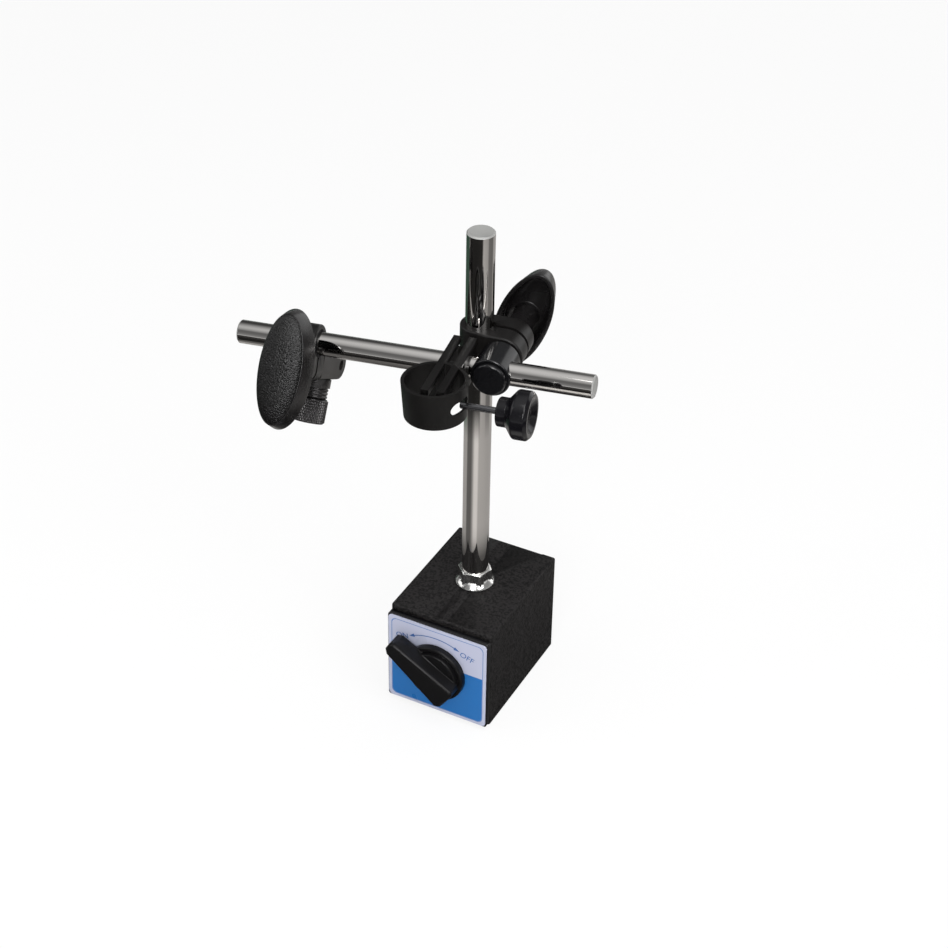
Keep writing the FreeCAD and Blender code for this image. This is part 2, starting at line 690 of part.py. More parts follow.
def collet_body():
    """The collar and ringed neck below the holder, and the slit collet in the nut."""
    profile = [(STEM_RADIUS, stem_top), (COLLAR_RADIUS, stem_top), (COLLAR_RADIUS, collar_end)]
    step = NECK_LENGTH / (2 * NECK_RINGS + 1)
    for k in range(NECK_RINGS):
        z = collar_end - (2 * k + 1) * step
        profile += [(NECK_RADIUS - RING_GROOVE, z + step), (NECK_RADIUS - RING_GROOVE, z),
                    (NECK_RADIUS, z), (NECK_RADIUS, z - step)]
    profile += [(NECK_RADIUS - RING_GROOVE, neck_end + step), (NECK_RADIUS - RING_GROOVE, neck_end),
                (COLLET_RADIUS, neck_end), (COLLET_RADIUS, collet_end), (STEM_RADIUS, collet_end)]
    body = turned(profile)
    for k in range(COLLET_SLITS // 2):
        slit = block(-COLLET_SLIT_WIDTH / 2, COLLET_SLIT_WIDTH / 2, -COLLET_RADIUS,
                     COLLET_RADIUS, collet_end, neck_end)
        slit.rotate(Vector(0, 0, 0), Z_AXIS, 360 * k / COLLET_SLITS)
        body = body.cut(slit)
    return placed(body, stem.multiply(Placement(Vector(0, stem_y, 0), Rotation())))


def collet_nut():
    """The knurled nut that closes the collet on a stem."""
    top = neck_end - FACE_CLEARANCE
    bore = COLLET_RADIUS + SHAFT_CLEARANCE
    nut = turned([(bore, top), (KNURL_RADIUS - KNURL_CHAMFER, top),
                  (KNURL_RADIUS, top - KNURL_CHAMFER), (KNURL_RADIUS, collet_end + KNURL_CHAMFER),
                  (KNURL_RADIUS - KNURL_CHAMFER, collet_end), (bore, collet_end)])
    return placed(nut, stem.multiply(Placement(Vector(0, stem_y, 0), Rotation())))


PIECES = [pole_left, pole_right, strip_top, strip_bottom, front_plate, label_plate,
          plate_screws, front_bush, rear_bush, front_spindle, rear_spindle, rotor_pole_a,
          rotor_pole_b, rotor_magnet, switch_knob, column_nut, column, column_clamp,
          friction_washer, rod_sleeve, eye_stud, rear_knob, rear_knob_insert, cross_rod,
          ring_holder, thumb_screw, thumb_knob, clamp_bush, rod_clamp, holder_stud,
          stem_holder, collet_body, collet_nut, front_knob, front_knob_insert]

os.makedirs("parts", exist_ok=True)
for piece in PIECES:
    shape = piece()
    shape.exportStep("parts/" + piece.__name__ + ".step")
    print(piece.__name__, "solids", len(shape.Solids), "volume", round(shape.Volume, 1),
          "valid", shape.isValid())
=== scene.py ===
# %% [markdown]
# # A magnetic indicator stand
#
# The stand holds a dial indicator beside a machine. A switched magnet in the base block holds
# it down, a chromed column carries one clamp, and a chromed rod in that clamp carries a ring,
# a second clamp and a collet for the indicator's stem.
#
# The solids come from the construction model. This script dresses them: it lights the stand,
# gives each finish its own material, and makes the turned and moulded pieces again as smooth
# surfaces, because a construction mesh is made of flat facets that a mirror finish gives away.

# %% Load the construction model
import json
import math

import bmesh
import bpy
import numpy as np
from mathutils import Matrix, Vector


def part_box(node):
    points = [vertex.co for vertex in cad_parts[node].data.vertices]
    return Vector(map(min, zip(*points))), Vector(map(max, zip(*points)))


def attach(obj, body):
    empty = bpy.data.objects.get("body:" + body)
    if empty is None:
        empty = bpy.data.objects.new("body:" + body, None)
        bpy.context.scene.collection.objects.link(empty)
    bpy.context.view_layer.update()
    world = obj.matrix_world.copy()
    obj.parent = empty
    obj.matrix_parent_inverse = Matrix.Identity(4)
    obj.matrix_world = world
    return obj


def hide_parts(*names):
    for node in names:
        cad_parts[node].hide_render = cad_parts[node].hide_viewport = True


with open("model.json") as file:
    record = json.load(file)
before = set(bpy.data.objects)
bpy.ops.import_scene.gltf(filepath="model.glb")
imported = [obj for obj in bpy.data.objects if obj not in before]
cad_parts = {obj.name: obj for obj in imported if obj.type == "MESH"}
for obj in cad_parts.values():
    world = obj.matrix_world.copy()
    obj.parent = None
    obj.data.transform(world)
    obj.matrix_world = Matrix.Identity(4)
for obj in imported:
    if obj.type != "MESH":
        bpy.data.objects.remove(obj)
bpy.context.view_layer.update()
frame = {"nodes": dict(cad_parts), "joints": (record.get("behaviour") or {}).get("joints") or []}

MM = 0.001

# %% [markdown]
# ## Where the pieces sit
#
# Each clamp has its own axes. The joints of the construction model already name them, so the
# frames below are read from the joints: where a joint turns, and which way its axis points.
# Copying the numbers by hand would be shorter, but then a change of the model would leave
# the dressed pieces behind.

# %% Frames of the head, arm, grip and stem holder
joints = {joint["name"]: joint for joint in frame["joints"]}


def joint_axis(name):
    axis = np.array(joints[name]["axis"], float)
    return axis / np.linalg.norm(axis)


def joint_place(name):
    return np.array(joints[name]["pos_m"], float) / MM


def axes_frame(origin, x_axis, z_axis):
    """A 3 x 4 placement in millimetres: columns are the x, y and z directions and the origin."""
    z_axis = z_axis / np.linalg.norm(z_axis)
    x_axis = x_axis - (x_axis @ z_axis) * z_axis
    x_axis = x_axis / np.linalg.norm(x_axis)
    return np.column_stack([x_axis, np.cross(z_axis, x_axis), z_axis, origin])


UP = np.array([0.0, 0.0, 1.0])
EAST = np.array([1.0, 0.0, 0.0])
stud_back = -joint_axis("arm_swing")
arm_right = joint_axis("arm_slide")
arm_place = joint_place("arm_swing")
grip_back = -joint_axis("front_knob_turn")
grip_place = joint_place("grip_turn")
stem_down = joint_axis("collet_nut_turn")
stem_place = joint_place("collet_nut_turn")
print("arm at", arm_place.round(2), "grip at", grip_place.round(2))

# %% [markdown]
# ## The camera
#
# The photograph was taken with a long lens from the front right and about 35 degrees above. A
# long lens keeps the column's two edges almost parallel. The direction, the distance and the
# small roll come from a fit of the base's corners and the two bars.

# %% Camera
CAMERA_AZIMUTH = math.radians(26.895)
CAMERA_ELEVATION = math.radians(35.49)
CAMERA_ROLL = math.radians(1.015)
CAMERA_DISTANCE = 925.63
FOCAL_PIXELS = 2122.1
IMAGE_PIXELS = 948
SENSOR = 36.0

target = np.array([-1.344, 0.0, 110.335])
back = np.array([math.sin(CAMERA_AZIMUTH) * math.cos(CAMERA_ELEVATION),
                 -math.cos(CAMERA_AZIMUTH) * math.cos(CAMERA_ELEVATION),
                 math.sin(CAMERA_ELEVATION)])
right = np.cross(-back, UP)
right /= np.linalg.norm(right)
upward = np.cross(back, right)
rolled_right = math.cos(CAMERA_ROLL) * right + math.sin(CAMERA_ROLL) * upward
rolled_up = -math.sin(CAMERA_ROLL) * right + math.cos(CAMERA_ROLL) * upward

camera_data = bpy.data.cameras.new("camera")
camera_data.sensor_width = SENSOR
camera_data.lens = FOCAL_PIXELS / IMAGE_PIXELS * SENSOR
camera_data.clip_start = 0.05
camera_data.clip_end = 20.0
camera = bpy.data.objects.new("camera", camera_data)
eye = (target + back * CAMERA_DISTANCE) * MM
turn = np.column_stack([rolled_right, rolled_up, back, eye])
camera.matrix_world = Matrix(np.vstack([turn, [0, 0, 0, 1]]).tolist())
bpy.context.scene.collection.objects.link(camera)
bpy.context.scene.camera = camera
print("lens", round(camera_data.lens, 1), "mm")

# %% [markdown]
# ## Surfaces from numbers
#
# A turned piece is a profile carried round an axis, and a moulded oval is the same idea with
# ellipses in place of circles. One helper covers both: it takes a grid of points, joins
# neighbouring rows into quads, closes seams and poles, and shades smooth except across
# sharp corners.

# %% A mesh from a grid of points
SMOOTH_BELOW = math.radians(38)
MERGE_WITHIN = 1e-6
SLIVER_BELOW = 1e-7


def grid_faces(rows, columns, closed_rows=False):
    """Quads between neighbouring rows; the columns always close into a loop."""
    last = rows if closed_rows else rows - 1
    i, j = np.meshgrid(np.arange(last), np.arange(columns), indexing="ij")
    after = (i + 1) % rows
    beside = (j + 1) % columns
    corners = [i * columns + j, i * columns + beside, after * columns + beside,
               after * columns + j]
    return np.stack(corners, -1).reshape(-1, 4)


def mesh_piece(name, points, faces, place):
    """Puts points, in millimetres, at their place as a mesh; the object stays at the origin."""
    world = points @ place[:, :3].T + place[:, 3]
    mesh = bpy.data.meshes.new(name)
    mesh.from_pydata((world * MM).tolist(), [], faces.tolist())
    work = bmesh.new()
    work.from_mesh(mesh)
    bmesh.ops.remove_doubles(work, verts=work.verts, dist=MERGE_WITHIN)
    bmesh.ops.dissolve_degenerate(work, edges=work.edges, dist=SLIVER_BELOW)
    bmesh.ops.recalc_face_normals(work, faces=work.faces)
    work.to_mesh(mesh)
    work.free()
    mesh.shade_smooth()
    mesh.set_sharp_from_angle(angle=SMOOTH_BELOW)
    piece = bpy.data.objects.new(name, mesh)
    bpy.context.scene.collection.objects.link(piece)
    return piece


def rounded_profile(corners, steps=4):
    """A polyline whose corners (radius, height, round) become arcs that touch both sides."""
    points = np.array([c[:2] for c in corners], float)
    rounds = [c[2] if len(c) > 2 else 0.0 for c in corners]
    path = []
    for k, (corner, radius) in enumerate(zip(points, rounds)):
        if radius <= 0:
            path.append(corner[None])
            continue
        toward = points[k - 1] - corner
        onward = points[(k + 1) % len(points)] - corner
        toward /= np.linalg.norm(toward)
        onward /= np.linalg.norm(onward)
        half = math.acos(np.clip(toward @ onward, -1, 1)) / 2
        reach = radius / math.tan(half)
        middle = corner + (toward + onward) / np.linalg.norm(toward + onward) * (
            radius / math.sin(half))
        start = corner + toward * reach - middle
        end = corner + onward * reach - middle
        share = np.linspace(0, 1, steps + 1)[:, None]
        arc = start * (1 - share) + end * share
        path.append(middle + arc / np.linalg.norm(arc, axis=1)[:, None] * radius)
    return np.vstack(path)


def turned_piece(name, corners, place, segments=96, steps=4):
    """A profile of (radius, height, round) corners carried round the z axis of its place."""
    profile = rounded_profile(corners, steps)
    angle = np.linspace(0, 2 * np.pi, segments, endpoint=False)
    radius = profile[:, :1]
    height = np.repeat(profile[:, 1:], segments, 1)
    points = np.stack([radius * np.cos(angle), radius * np.sin(angle), height], -1)
    faces = grid_faces(len(profile), segments, closed_rows=profile[0, 0] > 0)
    return mesh_piece(name, points.reshape(-1, 3), faces, place)


print("a surface is smooth where it bends less than", round(math.degrees(SMOOTH_BELOW)), "degrees")

# %% [markdown]
# ## Dressing a construction piece
#
# A clamp, the ring or the nut already has its true shape in the construction model, but as
# loose flat triangles. A copy with its doubles merged can be shaded smooth, so light flows
# over its rounded corners. A Weighted Normal modifier then lets the large flat faces decide,
# or the long triangles beside a fillet would show as wedges of light. The copy stands for the
# node and rides on the same body.

# %% Smooth copies of construction pieces
def ride_for(piece, body, nodes, material):
    """The finished piece rides on its body, hides its nodes and takes its material."""
    piece.data.materials.clear()
    piece.data.materials.append(material)
    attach(piece, body)
    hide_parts(*nodes)
    return piece


def smooth_copy(node, name, body, material, angle=SMOOTH_BELOW):
    """A merged copy of a construction node, smooth but for its sharp edges."""
    mesh = frame["nodes"][node].data.copy()
    mesh.name = name
    work = bmesh.new()
    work.from_mesh(mesh)
    bmesh.ops.remove_doubles(work, verts=work.verts, dist=2 * MERGE_WITHIN)
    work.to_mesh(mesh)
    work.free()
    mesh.shade_smooth()
    mesh.set_sharp_from_angle(angle=angle)
    piece = bpy.data.objects.new(name, mesh)
    bpy.context.scene.collection.objects.link(piece)
    even = piece.modifiers.new("even shading", "WEIGHTED_NORMAL")
    even.keep_sharp = True
    even.weight = 100
    return ride_for(piece, body, [node], material)


print("construction pieces to dress", len(frame["nodes"]))

# %% [markdown]
# ## Materials
#
# Every finish starts from one small recipe: a Principled shader whose colour and roughness
# wander a little with a noise, and whose normal carries the finish's own relief. The relief
# is a node group with named inputs, built once and used by each finish with its own scale.

# %% Node helpers
def new_group(name, inputs, outputs):
    """A node group with named inputs (label, kind, value) and outputs (label, kind)."""
    group = bpy.data.node_groups.new(name, "ShaderNodeTree")
    for label, kind, value in inputs:
        socket = group.interface.new_socket(label, in_out="INPUT", socket_type=kind)
        if value is not None:
            socket.default_value = value
    for label, kind in outputs:
        group.interface.new_socket(label, in_out="OUTPUT", socket_type=kind)
    start = group.nodes.new("NodeGroupInput")
    end = group.nodes.new("NodeGroupOutput")
    return group, start, end


def feed(tree, socket, value):
    """Links another node's output to a socket, or sets the socket to a number or colour."""
    if isinstance(value, bpy.types.NodeSocket):
        tree.links.new(value, socket)
    else:
        socket.default_value = value


def maths(tree, operation, *values, clamp=False):
    """A Math node; each value is an output or a number."""
    node = tree.nodes.new("ShaderNodeMath")
    node.operation = operation
    node.use_clamp = clamp
    for socket, value in zip(node.inputs, values):
        feed(tree, socket, value)
    return node.outputs[0]


def mix_colour(tree, share, first, second):
    """Blends two colours; each is an output or an RGBA tuple."""
    node = tree.nodes.new("ShaderNodeMix")
    node.data_type = "RGBA"
    for number, value in ((0, share), (6, first), (7, second)):
        feed(tree, node.inputs[number], value)
    return node.outputs[2]


print("node helpers ready")

# %% A relief group: noise and cells give a height, and a broad noise gives the drift
relief, relief_in, relief_out = new_group(
    "surface relief",
    [("Vector", "NodeSocketVector", None), ("Fine", "NodeSocketFloat", 900.0),
     ("Broad", "NodeSocketFloat", 60.0), ("Roundness", "NodeSocketFloat", 0.5)],
    [("Height", "NodeSocketFloat"), ("Drift", "NodeSocketFloat")])
fine_noise = relief.nodes.new("ShaderNodeTexNoise")
fine_noise.inputs["Detail"].default_value = 3.0
broad_noise = relief.nodes.new("ShaderNodeTexNoise")
broad_noise.inputs["Detail"].default_value = 2.0
cells = relief.nodes.new("ShaderNodeTexVoronoi")
cells.feature = "SMOOTH_F1"
for node, scale in ((fine_noise, "Fine"), (broad_noise, "Broad"), (cells, "Fine")):
    relief.links.new(relief_in.outputs["Vector"], node.inputs["Vector"])
    relief.links.new(relief_in.outputs[scale], node.inputs["Scale"])
domes = maths(relief, "SUBTRACT", 1.0, cells.outputs["Distance"])
domed = maths(relief, "MULTIPLY", domes, relief_in.outputs["Roundness"])
grain = maths(relief, "ADD", fine_noise.outputs[0], domed)
relief.links.new(grain, relief_out.inputs["Height"])
relief.links.new(broad_noise.outputs[0], relief_out.inputs["Drift"])
print("relief group", len(relief.nodes), "nodes")

# %% Colours that wander, and painted highlights and shade that follow the grain
# Painted light: crests of the relief get a lighter colour as painted highlights, valleys a darker
# colour as painted shade.
CREST_HIGHLIGHT_GAIN, VALLEY_SHADE_SHARE, RELIEF_LIGHT_SHARE = 2.2, 0.45, 0.85


def toned(colour, gain):
    """The colour times a gain, as an RGBA tuple."""
    return tuple(min(1.0, c * gain) for c in colour) + (1.0,)


def drifting_colour(tree, group, colour, drift):
    """Wanders between a darker and a lighter tone with the broad noise."""
    share = maths(tree, "SUBTRACT", group.outputs["Drift"], 0.5)
    share = maths(tree, "MULTIPLY_ADD", share, 2.0, 0.5, clamp=True)
    return mix_colour(tree, share, toned(colour, 1 - drift), toned(colour, 1 + drift))


def relief_lit_colour(tree, group, colour, paint, middle, contrast):
    """Lightens the crests and darkens the valleys of the relief's height: painted highlights and
    painted shade.
    """
    height = maths(tree, "SUBTRACT", group.outputs["Height"], middle)
    share = maths(tree, "MULTIPLY_ADD", height, contrast, 0.5, clamp=True)
    lit_and_shaded_relief = mix_colour(tree, share, toned(colour, VALLEY_SHADE_SHARE), toned(colour, CREST_HIGHLIGHT_GAIN))
    return mix_colour(tree, RELIEF_LIGHT_SHARE, paint, lit_and_shaded_relief)


print("flecks take", RELIEF_LIGHT_SHARE, "of a flecked paint")

# %% One recipe for painted, moulded and plated finishes
# The masked part of a skin, the pebbled dome of the knobs, is darkened to this share of its colour
# as painted shade.
PAINTED_SHADE_TONE = 0.22


def finish(name, colour, roughness, metallic=0.0, fine=900.0, broad=60.0, roundness=0.5,
           bump=0.1, bump_depth=0.0001, drift=0.15, relief_light=0.0, mask=None, specular=0.5):
    """A Principled material: colour drifts by noise, and the relief group drives the bump.
    With a contrast for painted light, the relief's crests get painted highlights and its valleys
    painted shade.

    A mask names an attribute; the bump shows only there, and the colour is darker there as painted
    shade.
    """
    material = bpy.data.materials.new(name)
    material.use_nodes = True
    tree = material.node_tree
    shader = tree.nodes["Principled BSDF"]
    place = tree.nodes.new("ShaderNodeTexCoord")
    group = tree.nodes.new("ShaderNodeGroup")
    group.node_tree = relief
    tree.links.new(place.outputs["Object"], group.inputs["Vector"])
    for label, value in (("Fine", fine), ("Broad", broad), ("Roundness", roundness)):
        group.inputs[label].default_value = value
    height = group.outputs["Height"]
    paint = drifting_colour(tree, group, colour, drift)
    # Painted highlights on the relief's crests and painted shade in its valleys.
    if relief_light:
        paint = relief_lit_colour(tree, group, colour, paint, 0.5 + 0.5 * roundness, relief_light)
    if mask:
        masked = tree.nodes.new("ShaderNodeAttribute")
        masked.attribute_name = mask
        paint = mix_colour(tree, masked.outputs["Fac"], paint, toned(colour, PAINTED_SHADE_TONE))
        height = maths(tree, "MULTIPLY", height, masked.outputs["Fac"])
    gloss = maths(tree, "MULTIPLY_ADD", group.outputs["Drift"], roughness * 0.5,
                  roughness * 0.75)
    bumped = tree.nodes.new("ShaderNodeBump")
    bumped.inputs["Strength"].default_value = bump
    bumped.inputs["Distance"].default_value = bump_depth
    tree.links.new(height, bumped.inputs["Height"])
    tree.links.new(paint, shader.inputs["Base Color"])
    tree.links.new(gloss, shader.inputs["Roughness"])
    tree.links.new(bumped.outputs[0], shader.inputs["Normal"])
    shader.inputs["Metallic"].default_value = metallic
    shader.inputs["Specular IOR Level"].default_value = specular
    return material


print("recipe ready; a masked skin keeps", PAINTED_SHADE_TONE, "of its colour")

# %% The finishes of the stand
# The wrinkle paint's crests carry painted highlights and its valleys painted shade.
wrinkle_paint = finish("wrinkle paint", (0.0085, 0.0078, 0.0079), 0.66, fine=950, broad=90,
                       bump=0.9, bump_depth=0.0003, relief_light=8.0, drift=0.12, specular=0.2)
plate_paint = finish("plate paint", (0.008, 0.008, 0.009), 0.32, fine=900, bump=0.15,
                     specular=0.3)
chrome = finish("hard chrome", (0.53, 0.515, 0.50), 0.045, metallic=1.0, fine=400, broad=40,
                bump=0.02, drift=0.03)
cut_steel = finish("cut bar end", (0.38, 0.38, 0.37), 0.55, metallic=0.3, fine=1200, bump=0.1)
nickel = finish("bright nickel", (0.88, 0.87, 0.85), 0.17, metallic=1.0, fine=700, bump=0.04)
clamp_paint = finish("satin clamp paint", (0.0070, 0.0064, 0.0062), 0.36, fine=800, broad=80,
                     bump=0.12, drift=0.18, specular=0.27)
gloss_black = finish("gloss black", (0.006, 0.006, 0.007), 0.14, fine=700, bump=0.03,
                     specular=0.45)
matte_black = finish("matte black", (0.006, 0.006, 0.007), 0.6, fine=900, bump=0.1,
                     specular=0.2)
ring_paint = finish("ring paint", (0.0066, 0.0062, 0.0060), 0.45, fine=900, broad=70, bump=0.2,
                    specular=0.2)
# The knob's pebbled dome is darkened by its mask as painted shade; the wall and rim keep the full
# colour.
knob_moulding = finish("pebbled knob moulding", (0.0085, 0.0078, 0.0080), 0.27, fine=1800,
                       broad=70, roundness=1.0, bump=0.9, bump_depth=0.00024, mask="pebble_and_shade",
                       specular=0.36)
thumb_moulding = finish("thumb knob moulding", (0.0045, 0.0042, 0.0056), 0.15, fine=600,
                        bump=0.05, specular=0.32)
switch_moulding = finish("switch moulding", (0.0045, 0.0043, 0.0047), 0.32, fine=900, bump=0.12,
                         specular=0.2)
knurled_steel = finish("blackened knurled steel", (0.085, 0.082, 0.083), 0.26, metallic=0.9,
                       fine=1100, bump=0.1)
screw_steel = finish("dark screw steel", (0.10, 0.10, 0.105), 0.18, metallic=0.9, fine=700,
                     bump=0.04)
holder_steel = finish("phosphated holder", (0.024, 0.0225, 0.021), 0.42, metallic=0.4, fine=900,
                      bump=0.12, drift=0.2)
plain_steel = finish("plain steel", (0.55, 0.55, 0.56), 0.3, metallic=1.0, fine=700, bump=0.05)
brass = finish("bush brass", (0.72, 0.55, 0.26), 0.3, metallic=1.0, fine=700, bump=0.05)
magnet_grey = finish("magnet", (0.13, 0.13, 0.14), 0.5, metallic=0.4, fine=700, bump=0.1)
print("finishes", len(bpy.data.materials))

# %% [markdown]
# ## The base
#
# The block is two steel poles with a strip of brass between them, under one coat of wrinkle
# paint, so no seam shows. The paint's grain is the block's character: the relief group makes
# it with cells about a millimetre wide, and the same height also lightens the crests as painted
# highlights and darkens the valleys as painted shade.

# %% Base block, plate and inner pieces
for node, name in (("pole_left", "left_pole"), ("pole_right", "right_pole"),
                   ("strip_top", "top_strip"), ("strip_bottom", "bottom_strip")):
    smooth_copy(node, name, "base", wrinkle_paint)
smooth_copy("front_plate", "switch_plate", "base", plate_paint)
inner_finish = {"plate_screws": plain_steel, "front_bush": brass, "rear_bush": brass,
                "front_spindle": plain_steel, "rear_spindle": plain_steel,
                "rotor_pole_a": plain_steel, "rotor_pole_b": plain_steel,
                "rotor_magnet": magnet_grey, "rear_knob_insert": plain_steel,
                "front_knob_insert": plain_steel, "holder_stud": plain_steel}
for node, material in inner_finish.items():
    mesh = frame["nodes"][node].data
    mesh.materials.clear()
    mesh.materials.append(material)
print("base dressed, and", len(inner_finish), "inner pieces")

# %% [markdown]
# ## The label
#
# The label is a printed film: a pale lavender sheet with a blue field in its lower part,
# framed by a thin line. The print is made by measuring: masks compare the height and width
# on the label with the edges of each field.

# %% Label print
LABEL_LEFT, LABEL_RIGHT = -24.6, 24.6
LABEL_LOW, LABEL_HIGH = 2.1, 48.9
FRAME_INSET = 1.5
CORNER_ROUND = 2.6
LINE_WIDTH = 0.4
BLUE_TOP = 29.3
PALE = (0.455, 0.475, 0.60, 1.0)
BLUE = (0.018, 0.145, 0.42, 1.0)
LINE = (0.14, 0.23, 0.46, 1.0)


def beyond(tree, value, low, high):
    """How far a value lies outside two limits, in metres; 0 between them."""
    middle, half = (low + high) / 2, (high - low) / 2
    away = maths(tree, "ABSOLUTE", maths(tree, "SUBTRACT", value, middle))
    return maths(tree, "MAXIMUM", maths(tree, "SUBTRACT", away, half), 0.0)


label_film = finish("label film", PALE[:3], 0.3, fine=500, bump=0.02, specular=0.3)
tree = label_film.node_tree
shader = tree.nodes["Principled BSDF"]
place = tree.nodes.new("ShaderNodeTexCoord")
axes = tree.nodes.new("ShaderNodeSeparateXYZ")
tree.links.new(place.outputs["Object"], axes.inputs[0])
across, up = axes.outputs["X"], axes.outputs["Z"]


def box_mask(inset):
    """1 inside a box with round corners: nearer to the box less its rounding than that rounding."""
    shrink = inset + CORNER_ROUND
    wide = beyond(tree, across, (LABEL_LEFT + shrink) * MM, (LABEL_RIGHT - shrink) * MM)
    tall = beyond(tree, up, (LABEL_LOW + shrink) * MM, (LABEL_HIGH - shrink) * MM)
    gap = maths(tree, "SQRT", maths(tree, "ADD", maths(tree, "MULTIPLY", wide, wide),
                                    maths(tree, "MULTIPLY", tall, tall)))
    return maths(tree, "LESS_THAN", gap, CORNER_ROUND * MM)


framed = box_mask(FRAME_INSET)
within = box_mask(FRAME_INSET + LINE_WIDTH)
low_part = maths(tree, "LESS_THAN", up, BLUE_TOP * MM)
colour = mix_colour(tree, framed, PALE, LINE)
field = mix_colour(tree, low_part, PALE, BLUE)
tree.links.new(mix_colour(tree, within, colour, field), shader.inputs["Base Color"])
smooth_copy("label_plate", "printed_label", "base", label_film)
print("label print", len(tree.nodes), "nodes")

# %% [markdown]
# ## The marks for the switch
#
# An arc with a head at each end runs between ON and OFF, a little outside the knob's flange.
# Drawing it in the material would need a long chain of maths nodes for each letter. Here the
# ink is a very thin layer of its own: a band of points round the switch's axis, and letters
# from the built-in font, made a mesh and laid on the label.

# %% Ink layer helper
SWITCH_HEIGHT = joint_place("magnet_switch")[2]
LABEL_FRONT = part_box("label_plate")[0][1] / MM
INK_THICKNESS = 0.02
label_ink = finish("label ink", (0.045, 0.12, 0.34), 0.4, fine=700, bump=0.03, specular=0.3)


def ink_piece(name, flat, faces):
    """Flat (x, z) points, in millimetres round the switch's axis, as a thin closed layer."""
    count = len(flat)
    x = np.tile(flat[:, 0], 2)
    z = np.tile(flat[:, 1], 2) + SWITCH_HEIGHT
    y = np.repeat([LABEL_FRONT - INK_THICKNESS, LABEL_FRONT], count)
    points = np.column_stack([x, y, z]) * MM
    loops = [list(face) for face in faces]
    edges = {}
    for face in loops:
        for a, b in zip(face, face[1:] + face[:1]):
            edges[(a, b)] = edges.get((a, b), 0) + 1
    rim = [(a, b) for a, b in edges if (b, a) not in edges]
    walls = [[a, b, b + count, a + count] for a, b in rim]
    under = [[i + count for i in reversed(face)] for face in loops]
    mesh = bpy.data.meshes.new(name)
    mesh.from_pydata(points.tolist(), [], loops + under + walls)
    work = bmesh.new()
    work.from_mesh(mesh)
    bmesh.ops.recalc_face_normals(work, faces=work.faces)
    work.to_mesh(mesh)
    work.free()
    piece = bpy.data.objects.new(name, mesh)
    bpy.context.scene.collection.objects.link(piece)
    piece.data.materials.append(label_ink)
    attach(piece, "base")
    return piece


print("label front at", round(LABEL_FRONT, 2), "mm, switch axis at", SWITCH_HEIGHT.round(2), "mm")

# %% The arc and its two heads
ARC_RADIUS = 26.0
ARC_MIDDLE = np.array([-1.0, -8.1])
ARC_FROM, ARC_TO = math.radians(68.4), math.radians(113.6)
ARC_WIDTH = 0.46
HEAD_LENGTH, HEAD_WIDTH = 2.9, 1.9


def arc_with_heads():
    """Points at ARC_RADIUS plus or minus half the width, for equal steps of angle."""
    angle = np.linspace(ARC_FROM, ARC_TO, 48)
    ring = [np.column_stack([r * np.cos(angle), r * np.sin(angle)])
            for r in (ARC_RADIUS - ARC_WIDTH / 2, ARC_RADIUS + ARC_WIDTH / 2)]
    i = np.arange(len(angle) - 1)
    faces = np.column_stack([i, i + 1, i + 1 + len(angle), i + len(angle)]).tolist()
    points = [np.vstack(ring)]
    for at, way in ((ARC_FROM, -1), (ARC_TO, 1)):
        centre = ARC_RADIUS * np.array([math.cos(at), math.sin(at)])
        along = way * np.array([-math.sin(at), math.cos(at)])
        out = np.array([math.cos(at), math.sin(at)])
        start = sum(len(p) for p in points)
        points.append(np.array([centre + along * HEAD_LENGTH, centre + out * HEAD_WIDTH / 2,
                                centre - out * HEAD_WIDTH / 2]))
        faces.append([start, start + 1, start + 2])
    return np.vstack(points) + ARC_MIDDLE, faces


arc = ink_piece("switch_arc", *arc_with_heads())
print("arc", len(arc.data.polygons), "faces")

# %% The words ON and OFF
WORD_SWELL = 0.02


def word_piece(name, word, x, z, tilt, size):
    """The word's outline as a flat mesh, turned by its tilt and centred at (x, z)."""
    curve = bpy.data.curves.new(name, "FONT")
    curve.body = word
    curve.size = size
    curve.resolution_u = 3
    curve.offset = WORD_SWELL
    curve.align_x = "CENTER"
    curve.align_y = "CENTER"
    helper = bpy.data.objects.new(name + "_outline", curve)
    bpy.context.scene.collection.objects.link(helper)
    bpy.context.view_layer.update()
    flat = bpy.data.meshes.new_from_object(helper)
    points = np.zeros(len(flat.vertices) * 3)
    flat.vertices.foreach_get("co", points)
    points = points.reshape(-1, 3)[:, :2]
    faces = [list(face.vertices) for face in flat.polygons]
    bpy.data.objects.remove(helper)
    bpy.data.curves.remove(curve)
    bpy.data.meshes.remove(flat)
    c, s = math.cos(tilt), math.sin(tilt)
    turned = points @ np.array([[c, s], [-s, c]]) + [x, z]
    return ink_piece(name, turned, faces)


word_piece("word_on", "ON", -17.6, 13.3, math.radians(9), 4.0)
word_piece("word_off", "OFF", 14.9, 13.0, math.radians(-18), 4.1)
print("ink pieces on the label")

# %% [markdown]
# ## The switch knob
#
# The flange, boss and lever are one moulding, so the construction shape is kept and only
# shaded smooth.

# %% Switch knob
lever = smooth_copy("switch_knob", "switch_lever", "rotor", switch_moulding)
print("switch lever", len(lever.data.polygons), "faces")

# %% [markdown]
# ## Column, nut and cross rod
#
# Both bars are drawn steel under hard chrome, sawn off and chamfered, so their ends are grey
# and matt. They are turned surfaces, because a faceted bar would break every reflection.

# %% Column and cross rod
COLUMN_RADIUS = 6.0
COLUMN_TOP = 231.0
NUT_TOP = 60.05
STUD_RADIUS = 4.0
STUD_END = 43.0
CHAMFER = 0.6
ROD_RADIUS = 5.0
ROD_LENGTH = 154.5
ROD_RIGHT = 42.8
ROD_LEFT = ROD_RIGHT - ROD_LENGTH
BAR_SEGMENTS = 128
END_FACING = 0.5
NUT_SMOOTH_BELOW = math.radians(25)
ground = axes_frame(np.zeros(3), EAST, UP)


